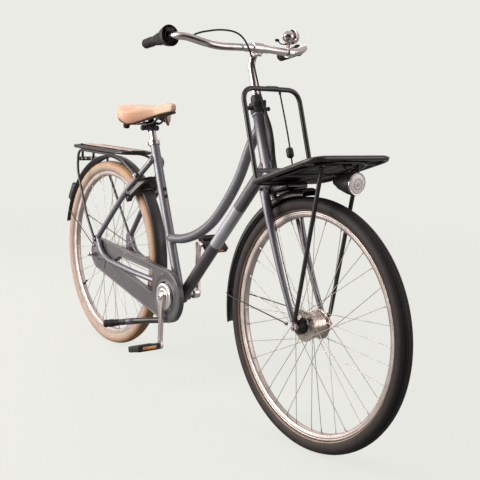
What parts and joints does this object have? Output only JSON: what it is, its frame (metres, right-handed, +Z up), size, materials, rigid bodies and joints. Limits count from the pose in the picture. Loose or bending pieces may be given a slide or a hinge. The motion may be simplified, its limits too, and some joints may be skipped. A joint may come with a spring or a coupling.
{
  "type": "step-through transport bicycle",
  "caption": "Step-through city bicycle with front and rear carriers, chain case, mudguards, double-leg stand, ring lock and bell; wheels, steering, cranks and stand move.",
  "frame": {"origin": "centre of the bounding box, on the floor under the wheels", "axes": "+X forward, +Y to the rider's left, +Z up"},
  "size_m": [1.9106, 0.546, 1.1813],
  "materials": {
    "frame_paint": "satin metallic",
    "black_metal": "satin",
    "black_plastic": "satin",
    "gloss_black": "gloss",
    "case_plastic": "satin",
    "chrome": "polished",
    "alloy": "satin",
    "steel": "plated",
    "black_tyre": "matte",
    "tan_tyre": "matte",
    "grip_rubber": "matte",
    "saddle_leather": "satin",
    "strap_fabric": "woven",
    "lens": "clear ribbed",
    "tail_plastic": "gloss"
  },
  "bodies": {
    "frame": {"head_tube": "frame_paint", "down_tube": "frame_paint", "top_tube": "frame_paint", "seat_tube": "frame_paint", "stay_left": "frame_paint", "stay_right": "frame_paint", "seat_collar": "chrome", "rear_carrier": "black_metal", "carrier_rail_left": "black_metal", "carrier_rail_right": "black_metal", "carrier_straps": "strap_fabric", "rear_mudguard": "gloss_black", "tail_light": "tail_plastic", "chain_case_inner": "case_plastic", "chain_case_outer": "case_plastic", "chain": "steel", "lock_housing": "black_plastic", "rear_axle": "steel", "stand_bracket": "black_metal"},
    "steering": {"fork": "frame_paint", "headset_ring": "black_metal", "stem": "chrome", "handlebar": "chrome", "grip_left": "grip_rubber", "grip_right": "grip_rubber", "shifter_housing": "black_plastic", "shift_cable": "black_plastic", "bell_body": "chrome", "bell_cup_left": "chrome", "bell_cup_right": "chrome", "front_carrier": "black_metal", "carrier_hoop": "black_metal", "front_strut_left": "black_metal", "front_strut_right": "black_metal", "front_mudguard": "gloss_black", "front_axle": "steel", "binder_cord": "black_plastic"},
    "front_wheel": {"front_tyre": "black_tyre", "front_rim": "alloy", "front_hub": "alloy"},
    "rear_wheel": {"rear_tyre": "tan_tyre", "rear_rim": "alloy", "rear_hub": "alloy"},
    "rear_drive": {"rear_sprocket": "steel"},
    "cranks": {"chainring": "alloy", "crank_right": "alloy", "crank_left": "alloy"},
    "pedal_right_body": {"pedal_right": "black_plastic"},
    "pedal_left_body": {"pedal_left": "black_plastic"},
    "stand": {"stand_legs": "black_metal"},
    "lock_ring": {"lock_bar": "steel"},
    "shifter": {"shifter_twist": "grip_rubber"},
    "striker": {"bell_striker": "black_plastic"},
    "seat": {"seat_post": "chrome", "saddle_rails": "steel", "saddle_base": "black_plastic", "saddle_cover": "saddle_leather"},
    "headlight": {"headlight_housing": "black_plastic", "headlight_lens": "lens"}
  },
  "joints": [
    {"name": "steering_turn", "type": "hinge", "parent": "frame", "child": "steering", "pos_m": [0.37678, 0, 0.74474], "axis": [-0.3256, 0, 0.9455], "range_deg": [-60, 60]},
    {"name": "front_wheel_spin", "type": "hinge", "parent": "steering", "child": "front_wheel", "pos_m": [0.59913, 0, 0.357], "axis": [0, 1, 0], "continuous": true},
    {"name": "rear_wheel_spin", "type": "hinge", "parent": "frame", "child": "rear_wheel", "pos_m": [-0.58087, 0, 0.357], "axis": [0, 1, 0], "continuous": true},
    {"name": "crank_spin", "type": "hinge", "parent": "frame", "child": "cranks", "pos_m": [-0.07888, 0, 0.295], "axis": [0, 1, 0], "continuous": true},
    {"name": "rear_sprocket_spin", "type": "hinge", "parent": "frame", "child": "rear_drive", "pos_m": [-0.58087, 0, 0.357], "axis": [0, 1, 0], "continuous": true},
    {"name": "pedal_right_spin", "type": "hinge", "parent": "cranks", "child": "pedal_right_body", "pos_m": [-0.07888, -0.1315, 0.125], "axis": [0, 1, 0], "continuous": true},
    {"name": "pedal_left_spin", "type": "hinge", "parent": "cranks", "child": "pedal_left_body", "pos_m": [-0.07888, 0.1245, 0.465], "axis": [0, 1, 0], "continuous": true},
    {"name": "stand_fold", "type": "hinge", "parent": "frame", "child": "stand", "pos_m": [-0.15388, 0, 0.19], "axis": [0, -1, 0], "range_deg": [0, 88]},
    {"name": "lock_close", "type": "hinge", "parent": "frame", "child": "lock_ring", "pos_m": [-0.35753, 0, 0.60724], "axis": [-0.7124, 0, 0.7018], "range_deg": [0, 150]},
    {"name": "shifter_twist_turn", "type": "hinge", "parent": "steering", "child": "shifter", "pos_m": [0.1873, -0.24877, 1.13177], "axis": [0.983, 0.0723, 0.1687], "range_deg": [0, 80]},
    {"name": "bell_striker_swing", "type": "hinge", "parent": "steering", "child": "striker", "pos_m": [0.277, 0.119, 1.1369], "axis": [0, 0, -1], "range_deg": [0, 14], "stiffness_Nm_per_rad": 0.1},
    {"name": "seat_height", "type": "slide", "parent": "frame", "child": "seat", "axis": [-0.3697, 0, 0.9291], "range_m": [-0.03, 0.08]},
    {"name": "headlight_tilt", "type": "hinge", "parent": "steering", "child": "headlight", "pos_m": [0.69984, 0, 0.80372], "axis": [0, 1, 0], "range_deg": [-12, 12]}
  ],
  "couplings": [
    {"joint": "rear_sprocket_spin", "follows": "crank_spin", "ratio": 2}
  ]
}
